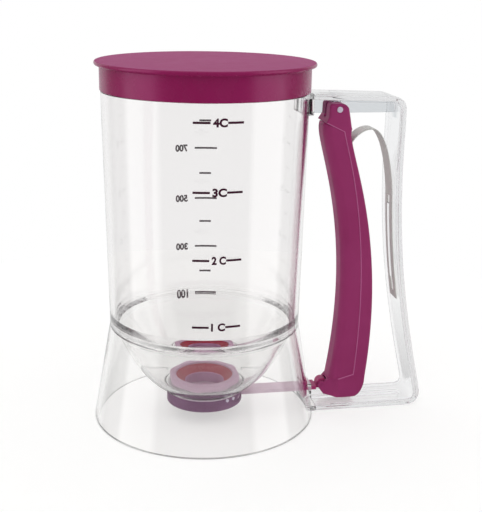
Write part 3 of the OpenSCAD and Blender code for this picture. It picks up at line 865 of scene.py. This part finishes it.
def ring_nut():
    """The nut, with flats round its side that fade out over its top, and a step under it that
    holds the seal down."""
    step_z = SEAL_TOP_Z + 0.05
    section = rounded([
        (NUT_HOLE_R + 1.0, LAND_Z, 0), (NUT_HIGH.x, LAND_Z, 0.4), (NUT_HIGH.x, NUT_HIGH.z, 1.2),
        (NUT_HOLE_R, NUT_HIGH.z, 0.7), (NUT_HOLE_R, step_z, 0), (OUTLET_R, step_z, 0), (OUTLET_R, LAND_Z, 0)])
    rings = []
    for r, z in section[1:]:
        in_hole = z < step_z + 0.01 and r < OUTLET_R + 0.1
        share = 0 if in_hole else max(0, min(1, (r - NUT_HOLE_R - 0.8) / 1.6))
        ring = []
        for k in range(NUT_SEGMENTS):
            turn = 2 * math.pi * k / NUT_SEGMENTS
            out = r + share * (flat_r(turn) - NUT_HIGH.x)
            ring.append((out * math.cos(turn), out * math.sin(turn), z))
        rings.append(ring)
    rings.append(rings[0])
    mesh = merged(skin(rings, close_ends=False), 1e-5)
    add_piece("ring_nut", mesh, "frame", "nut_plastic", "outlet_nut")


def seal_funnel():
    """A soft funnel: a red cone under the nut, and a mauve bore down to the gate."""
    low_r, low_z = SEAL_LOW
    flange_r = OUTLET_R - 0.1
    flange_z = LAND_Z + 2.0
    mesh = lathe(rounded([
        (low_r, low_z, 0.3), (low_r + SEAL_T, low_z, 0.3), (low_r + SEAL_T, FLANGE_Z - 0.9, 0),
        (SEAL_R, LAND_Z + 1.2, 0), (SEAL_R, flange_z, 0), (flange_r, flange_z, 0),
        (flange_r, SEAL_TOP_Z, 0.2), (NUT_HOLE_R - 0.2, SEAL_TOP_Z, 0.5),
        (low_r - 0.2, SEAL_BEND_Z, 0.8)]), NUT_SEGMENTS)
    piece = add_piece("seal_funnel", mesh, "frame", "seal_rubber", "outlet_seal")
    second_finish(piece, "seal_bore", lambda face: face.center.z < (SEAL_BEND_Z + 0.3) * MM)


# --------------------------------------------------
# Lid
# --------------------------------------------------

LID_T = 2.0
LID_DISH = 0.15
LID_SKIRT_T = 1.3
LID_GAP = 0.4
PLUG_GAP = 0.3
PLUG_T = 1.4
PLUG_H = 7.0


def lid():
    """The lid: a plate with a full lip, a skirt outside the jug's collar and a plug ring inside it."""
    top = LID_HIGH.z
    under = top - LID_T
    lip = LID_HIGH.x
    skirt_out = JUG_R + LID_GAP
    skirt_in = skirt_out - LID_SKIRT_T
    plug_out = COLLAR_R - COLLAR_T - PLUG_GAP
    plug_in = plug_out - PLUG_T
    plug_z = under - PLUG_H
    mesh = lathe(rounded([
        (0, top - LID_DISH, 0), (lip, top, 0.85), (lip, under, 0.85), (skirt_out, under, 0.7),
        (skirt_out, LID_LOW.z, 0.45), (skirt_in, LID_LOW.z, 0.3), (skirt_in, under, 0.3),
        (plug_out, under, 0.3), (plug_out, plug_z, 0.4), (plug_in, plug_z, 0.4), (plug_in, under, 0.5),
        (0, under, 0)]))
    piece = add_piece("lid_shell", mesh, "lid", "lid_plastic", "lid")
    lowest = (top - 2 * LID_DISH) * MM
    # The top gets a matt finish with a paler base: painted light for its reflection at a low angle
    second_finish(piece, "lid_top_painted_light", lambda face: face.center.z > lowest and face.normal.z > 0.9)


# --------------------------------------------------
# Handle
# --------------------------------------------------

# The link pin in the trigger's foot and the pivot pin in its head, as X and Z
LINK = Vector((BASE_R + 6.25, BLADE_HIGH.z))
PIVOT = Vector((LINK.x + 2.0, ARM_Z - 8.0))
GRIP_TOP_X = PIVOT.x + 34.7
GRIP_LOW_X = LINK.x + 53.2
GRIP = [
    Vector((GRIP_TOP_X, ARM_Z - 17.6)), Vector((GRIP_TOP_X - 1.1, ARM_Z * 0.57)),
    Vector((GRIP_TOP_X + 4.8, ARM_Z * 0.356)), Vector((GRIP_LOW_X, 11.4)),
]
CORNER = 8.0
LOW_CORNER = 10.7
LOW_END_X = (GRIP[3] + (GRIP[3] - GRIP[2]).normalized() * 11.7).x
ARM_DROP = 1.2
WEB_HALF = 1.5
BOSS_R = 3.4
RIB_STOP = 8.0
BOSS_HALF = WEB_HALF + 1.3
LIP_H = 0.8
LIP_W = 1.7
# The lips stand in from the band's sides by this, so that no two faces lie on each other
LIP_IN = 0.06


def handle_path():
    """The band's outer face, from the upper pad round to the lower pad."""
    corner = [
        Vector((GRIP_TOP_X - CORNER, ARM_Z - ARM_DROP)), Vector((GRIP_TOP_X + 0.4, ARM_Z - ARM_DROP - 0.5)),
        Vector((GRIP_TOP_X, ARM_Z - ARM_DROP - CORNER)),
    ]
    start = Vector((TOP_PAD_X - BOND, ARM_Z))
    low_start = LOW_END_X - LOW_CORNER
    path = [tuple(start.lerp(corner[0], k / 6)) for k in range(6)]
    path += bezier(corner, 16)
    path += bezier(GRIP, 72)
    path += bezier([GRIP[3], Vector((LOW_END_X, 0)), Vector((low_start, 0))], 16)[1:]
    path += [(LOW_PAD_X + (low_start - LOW_PAD_X) * (5 - k) / 6, 0) for k in range(5)]
    return path + [(LOW_PAD_X - BOND, 0)]


def handle():
    """The loop: a band with two low lips, a web with the pivot's boss, and two ribs."""
    path = handle_path()
    band = strip(path, FOOT_LIFT, BAND_T, PAD_HALF, 0.9, 4)
    web_right = GRIP_TOP_X - BAND_T / 2
    web = slab([
        (TOP_PAD_X - BOND, WEB_Z), (TOP_PAD_X - BOND, ARM_Z - BAND_T / 2),
        (web_right - CORNER / 2, ARM_Z - ARM_DROP - BAND_T / 2),
        (web_right, ARM_Z - CORNER), (web_right, WEB_Z)], WEB_HALF, 0.4)
    boss = across(PIVOT.x, PIVOT.y, BOSS_R, -BOSS_HALF, BOSS_HALF, 0.3)
    rib = block(
        (LOW_PAD_X - BOND, -WEB_HALF, BAND_T / 2), (GRIP_LOW_X - RIB_STOP, WEB_HALF, BAND_T + 1), 0.3)
    guide = strip(bezier(GRIP, 24, 0.265, 0.56), BAND_T / 2, BAND_T + 1.3, 1.2, 0.3)
    off = PAD_HALF - LIP_W / 2 - LIP_IN
    lips = [
        strip(path[2:-1], BAND_T - 0.6, BAND_T + LIP_H, LIP_W / 2, 0.35, shift=side * off)
        for side in (-1, 1)]
    mesh = combine(band, web, boss, rib, guide, *lips)
    add_piece("handle_loop", mesh, "frame", "clear_plastic", "handle_frame", material="clear_handle")


# --------------------------------------------------
# Trigger: a lever with a front shell, and the pivot pin
# --------------------------------------------------

def side_point(x, up):
    """A point at a distance outside the pivot, and at a share of the way up from the link pin."""
    return Vector((PIVOT.x + x, LINK.y + up * (PIVOT.y - LINK.y)))


FRONT = [side_point(-6.8, 0.954), side_point(-11.8, 0.892), side_point(16, 0.617), side_point(1, 0.028)]
PARTING = [side_point(2.9, 0.925), side_point(4.7, 0.86), side_point(21.3, 0.585), side_point(13.8, 0.05)]
BACK = [side_point(7.4, 0.933), side_point(3.7, 0.878), side_point(31.2, 0.585), side_point(20.5, 0.016)]
TRIGGER_STEPS = 72
TRIGGER_HALF = 9.0
BACK_EDGE = 1.5
FOOT_EDGE = 0.9
SEAM_EDGE = 0.42
SPINE_GAP = 0.05
COVER_T = 2.0
COVER_R = 5.5
COVER_STEPS = 10
COVER_EDGE = 0.06
COVER_SUNK = 0.28
TONGUE_HALF = 4.5
HEAD_Z = PIVOT.y + 3.0
HEAD_SLOT_LOW = 4.8
FORK_GAP = 0.35
FOOT_H = 6.0
KNUCKLE_R = 2.4
EYE_R = 3.07
EYE_HALF = 2.4
EYE_PLAY = 0.5
TINE_T = 2.0
PIN_R = 1.2
PIN_HEAD_R = 1.5
PIN_HEAD_H = 0.8


def cover_half(depth, half, radius, edge):
    """One side of the shell's section, from the parting line to the front, as (depth, side)."""
    points = [(0, -half + edge), (edge, -half)]
    for k in range(COVER_STEPS + 1):
        turn = math.pi / 2 * k / COVER_STEPS
        points.append((depth - radius + radius * math.sin(turn), -half + radius - radius * math.cos(turn)))
    return points


def whole_section(half_section):
    """A section with the mirror of its one side added."""
    return half_section + [(d, -y) for d, y in reversed(half_section)]


def close_cover_ends(bm, count):
    """Fills the wall between the outer and the inner half of the first and the last ring of points."""
    bm.verts.ensure_lookup_table()
    for first in (0, len(bm.verts) - count):
        for k in range(count // 2 - 1):
            far = count - 1 - k
            bm.faces.new([bm.verts[first + i] for i in (k, k + 1, far - 1, far)])


def grip_cover():
    """The shell round the trigger's front, from the parting line on both sides."""
    rings = []
    for a, b in zip(bezier(PARTING, TRIGGER_STEPS), bezier(FRONT, TRIGGER_STEPS)):
        a, b = Vector(a), Vector(b)
        depth = (b - a).length
        along = (b - a) / depth
        outer = whole_section(cover_half(depth, TRIGGER_HALF - COVER_SUNK, COVER_R, COVER_EDGE))
        inner = whole_section(cover_half(depth - COVER_T, TRIGGER_HALF - COVER_T, COVER_R - COVER_T, 0.1))
        rings.append([(a.x + along.x * d, y, a.y + along.y * d) for d, y in outer + inner[::-1]])
    mesh = outwards(skin(rings, close_ends=False), lambda bm: close_cover_ends(bm, len(rings[0])))
    add_piece("trigger_front", mesh, "trigger", "trigger_plastic", "grip_cover")


def head_outline():
    """Round the lever's head, from the top of its back to the top of its front."""
    rise = bezier([
        BACK[0] + Vector((-0.4, 1.2)), PIVOT + Vector((5.9, -2.5)), PIVOT + Vector((5.2, 0.4))], 8)
    crest = bezier([PIVOT + Vector((4.6, 1.3)), (PIVOT.x + 3.4, HEAD_Z), (PIVOT.x - 0.6, HEAD_Z)], 8)
    end = rounded([
        (*crest[-1], 0), (PIVOT.x - 4.9, HEAD_Z, 1.6), (*(FRONT[0] + Vector((1.7, 3.2))), 0),
        (*(FRONT[0] + Vector((0.1, 0.2))), 0), (*PARTING[0], 0)])
    return rise + crest + end[1:-1]


def foot_outline():
    """Round the lever's foot, from the front's lower end to the back's."""
    sole_start = (LINK.x + 0.4, LINK.y + 1.3 - FOOT_H)
    nose = rounded([
        (*PARTING[3], 0), (*(FRONT[3] - Vector((0, 0.2))), 0),
        (LINK.x + KNUCKLE_R * 0.4, LINK.y + KNUCKLE_R * 0.8, 0),
        (LINK.x - KNUCKLE_R * 0.7, LINK.y - KNUCKLE_R * 0.7, 1.3), (*sole_start, 0)])[1:-1]
    sole = bezier([sole_start, (LINK.x + 6, LINK.y - 0.3 - FOOT_H), (LINK.x + 14.6, LINK.y - FOOT_H)], 12)
    heel = bezier([
        (LINK.x + 17.5, LINK.y + 0.3 - FOOT_H), (LINK.x + 21.2, LINK.y + 1.8 - FOOT_H), tuple(BACK[3])], 12)
    return nose + sole + heel


def lever_body(spine):
    """The lever behind the parting line, with its head and foot, before anything is cut from it."""
    foot = foot_outline()
    back = bezier(BACK, TRIGGER_STEPS)[:-1][::-1]
    head = head_outline()
    edges = [SEAM_EDGE] * (len(spine) + 1) + [FOOT_EDGE] * (len(foot) - 1)
    edges += [BACK_EDGE] * (len(back) + len(head) - 1) + [SEAM_EDGE]
    return slab(spine + foot + back + head, TRIGGER_HALF, edges, 5)


def lever_tongue(spine):
    """The rib that stands on the lever inside the shell."""
    crest = []
    for a, b in zip(bezier(FRONT, TRIGGER_STEPS), bezier(PARTING, TRIGGER_STEPS)):
        a, b = Vector(a), Vector(b)
        crest.append(tuple(a + (b - a).normalized() * (COVER_T + 1)))
    top = (FRONT[0].x + 2, FRONT[0].y + 2)
    low = (FRONT[3].x + 3, FRONT[3].y - 2)
    root = [(x + 0.5, z) for x, z in reversed(spine)]
    return slab([top, *crest, low, *root], TONGUE_HALF, 0.3, 2)


def head_slots():
    """What leaves room in the head for the web, and behind its front for the boss."""
    slit = WEB_HALF + FORK_GAP
    fork = BOSS_HALF + FORK_GAP
    low, high = PIVOT.y - HEAD_SLOT_LOW, PIVOT.y + 10
    return [
        block((PIVOT.x - BOSS_R - FORK_GAP, -fork, low), (PIVOT.x + 15, fork, high)),
        block((PIVOT.x - 15, -slit, low), (PIVOT.x, slit, high)),
    ]


def eye_slot():
    """What leaves room in the foot for the rod's eye: round above the link pin, open below it."""
    reach = EYE_R + EYE_PLAY + 2 * FORK_GAP
    half = EYE_HALF + FORK_GAP
    low = LINK.y - reach - FOOT_H
    view = [(LINK.x - reach, low), (LINK.x + reach, low)]
    for k in range(25):
        turn = math.pi * k / 24
        view.append((LINK.x + reach * math.cos(turn), LINK.y + reach * math.sin(turn)))
    return skin([[(x, y, z) for x, z in view] for y in (-half, half)])


def nose_cutter(side):
    """What narrows the foot to its fork on one side, seen from above."""
    nose = EYE_HALF + FORK_GAP + TINE_T + 0.04
    out = TRIGGER_HALF + 1
    plan = [(LINK.x - 5, out), (LINK.x - 5, nose)]
    plan += bezier([(LINK.x + 1, nose), (LINK.x + 5.6, nose + 1.2), (LINK.x + 8.4, out)], 10)
    return skin([[(x, side * y, z) for x, y in plan] for z in (-1, LINK.y + 3 * FOOT_H)])


def is_seam(face, seam):
    """Whether a face is on the lever's rim along the parting line."""
    place = Vector((face.center.x, face.center.z)) / MM
    on_rim = TRIGGER_HALF - SEAM_EDGE < abs(face.center.y) / MM < TRIGGER_HALF - 0.01
    return on_rim and min((place - p).length for p in seam) < 1.7 * SEAM_EDGE


def trigger_lever():
    """The lever: a spine and tongue behind the shell, a forked head, and a forked foot."""
    spine = [(x + SPINE_GAP, z) for x, z in bezier(PARTING, TRIGGER_STEPS)]
    out = EYE_HALF + FORK_GAP + TINE_T
    knuckle = across(LINK.x, LINK.y, KNUCKLE_R, -out, out, 0.4)
    body = combine(lever_body(spine), lever_tongue(spine), knuckle)
    cutters = [*head_slots(), eye_slot(), nose_cutter(-1), nose_cutter(1)]
    mesh = combine(body, *cutters, operation="DIFFERENCE")
    piece = add_piece("trigger_body", mesh, "trigger", "trigger_plastic", "trigger_lever")
    seam = [Vector(p) for p in bezier(PARTING, 4 * TRIGGER_STEPS)]
    for end in (0, 3):
        seam += [PARTING[end].lerp(FRONT[end], k / 30) for k in range(31)]
    # The lever's rim along the parting line gets a paler finish: a painted highlight
    second_finish(piece, "trigger_seam_highlight", lambda face: is_seam(face, seam))


def pivot_pin():
    """The pin, with its rounded head on the near side."""
    near = TRIGGER_HALF + 0.05
    head = lathe(rounded([
        (0, 0, 0), (PIN_HEAD_R, 0, 0.15), (PIN_HEAD_R, PIN_HEAD_H, 0.4), (0, PIN_HEAD_H, 0)]), 64)
    place = Matrix.Translation((PIVOT.x, -near, PIVOT.y))
    head.transform(place @ Matrix.Rotation(math.radians(90), 4, "X"))
    shank = across(PIVOT.x, PIVOT.y, PIN_R, -near - 0.2, near + 1.4, 0.3, 48)
    add_piece("pivot_rivet", combine(head, shank), "trigger", "pin_steel", "pivot_pin")


# --------------------------------------------------
# Leaf spring
# --------------------------------------------------

SPRING_T = 0.7
SPRING_HALF = 5.3
SPRING_OFF = BAND_T + 0.3 + SPRING_T / 2


def leaf_spring():
    """A bent strip from the trigger's back over a crown and down along the band, with a long slot."""
    hook_in = PIVOT + Vector((6, -20.2))
    hook_out = PIVOT + Vector((8.2, -17.6))
    crown = PIVOT + Vector((18.7, -10.7))
    tail = inset(bezier(GRIP, 40, 0.22, 0.645), SPRING_OFF)
    top = Vector(tail[0])
    path = [tuple(hook_in)]
    path += bezier([hook_out, hook_out + Vector((2.3, 3.5)), crown - Vector((4.6, 0)), crown], 20)
    path += bezier([crown, crown + Vector((8.2, 0)), top + Vector((-1.1, 13)), top], 24)[1:-1]
    blade = strip(path + tail, -SPRING_T / 2, SPRING_T / 2, SPRING_HALF, 0.25, 2)
    slot = strip(inset(bezier(GRIP, 24, 0.235, 0.62), SPRING_OFF), -1, 1, 1.7, 0.9, 4)
    mesh = combine(blade, slot, operation="DIFFERENCE")
    piece = add_piece("spring_leaf", mesh, None, "spring_steel", "leaf_spring")
    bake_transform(piece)


# --------------------------------------------------
# Printed scales: thin ink on the jug's outside, cups on the near side, millilitres on the far side
# --------------------------------------------------

INK_PROUD = 0.05
INK_SUNK = 0.03
CUP_LINE_HALF = 0.54
CUP_HEIGHTS = (65.85, 99.65, 132.65, 165.2)
CUP_LETTERS = ("1 C", "2 C", "3C", "4C")
CUP_CAP = 4.15
CUP_WEIGHT = 0.045
CUP_TEXT = (-4.2, 2.65)
CUP_LINES = ((-13.4, -5.3), (2.75, 10.3))
ML_LINE_HALF = 0.52
ML_HEIGHTS = (50.7, 64.3, 79.05, 93.7, 107.1, 121.4, 135.7, 151.05)
ML_CAP = 4.1
ML_WEIGHT = 0.05
ML_TEXT = (2.9, 10.1)
ML_LINE = (-14.2, -1.3)
ML_SHORT_LINE = (-10.8, -4.0)


def outside_r(z):
    """The radius of the jug's outside, or of the skirt's below the seam."""
    if z < WAIST_Z:
        return skirt_r(z)
    return WAIST_R + (JUG_R - WAIST_R) * max(0, z - SEAM_Z) / (SHOULDER_Z - SEAM_Z)


def glyphs(letters, weight):
    """Letters as a flat mesh in X and Y, one unit deep in Z."""
    curve = bpy.data.curves.new("letters", "FONT")
    curve.body = letters
    curve.offset = weight
    curve.extrude = 0.5
    curve.resolution_u = 5
    return evaluated(bpy.data.objects.new("letters", curve))


def fit_to(mesh, left, right, middle, height):
    """Stretches a flat mesh to a width in X, and to a height about a middle in Y."""
    xs = [v.co.x for v in mesh.vertices]
    ys = [v.co.y for v in mesh.vertices]
    for v in mesh.vertices:
        v.co.x = left + (right - left) * (v.co.x - min(xs)) / (max(xs) - min(xs))
        v.co.y = middle + height * ((v.co.y - min(ys)) / (max(ys) - min(ys)) - 0.5)
    return mesh


def line(left, right, middle, half):
    """A flat bar in X and Y, one unit deep in Z, cut into steps of about a millimetre."""
    steps = max(1, round(right - left))
    low, high = middle - half, middle + half
    rings = []
    for k in range(steps + 1):
        x = left + (right - left) * k / steps
        rings.append([(x, low, -0.5), (x, high, -0.5), (x, high, 0.5), (x, low, 0.5)])
    return skin(rings)


def printed(name, marks, facing):
    """Wraps flat marks on the outside of the jug, around the side at an angle about its axis."""
    bm = bmesh.new()
    for mark in marks:
        bm.from_mesh(mark)
        bpy.data.meshes.remove(mark)
    bmesh.ops.remove_doubles(bm, verts=bm.verts, dist=1e-5)
    for v in bm.verts:
        sideways, z, depth = v.co
        base = outside_r(z)
        turn = facing + sideways / base
        r = base + (INK_PROUD if depth > 0 else -INK_SUNK)
        v.co = (r * math.cos(turn), r * math.sin(turn), z)
    bmesh.ops.recalc_face_normals(bm, faces=bm.faces)
    mesh = bpy.data.meshes.new(name)
    bm.to_mesh(mesh)
    bm.free()
    add_piece(name, mesh, "frame", "lid_plastic", material="ink")


def printed_scales():
    """Cups with a line on each side of their letters, and a mark each 100 ml, every other one long
    and numbered."""
    cups = []
    for z, letters in zip(CUP_HEIGHTS, CUP_LETTERS):
        cups.append(fit_to(glyphs(letters, CUP_WEIGHT), *CUP_TEXT, z, CUP_CAP))
        cups += [line(*ends, z, CUP_LINE_HALF) for ends in CUP_LINES]
    printed("cup_scale", cups, math.radians(-90))
    millilitres = []
    for hundreds, z in enumerate(ML_HEIGHTS, 1):
        numbered = hundreds % 2 == 1
        if numbered:
            millilitres.append(fit_to(glyphs(f"{hundreds}00", ML_WEIGHT), *ML_TEXT, z, ML_CAP))
        millilitres.append(line(*(ML_LINE if numbered else ML_SHORT_LINE), z, ML_LINE_HALF))
    printed("millilitre_scale", millilitres, math.radians(90))


# --------------------------------------------------
# Build
# --------------------------------------------------

make_camera()
make_render_settings()
make_world()
make_floor()
MATERIALS = make_materials()
dress_nodes()
jug_wall()
bowl()
skirt()
ring_nut()
seal_funnel()
lid()
handle()
grip_cover()
trigger_lever()
pivot_pin()
leaf_spring()
printed_scales()
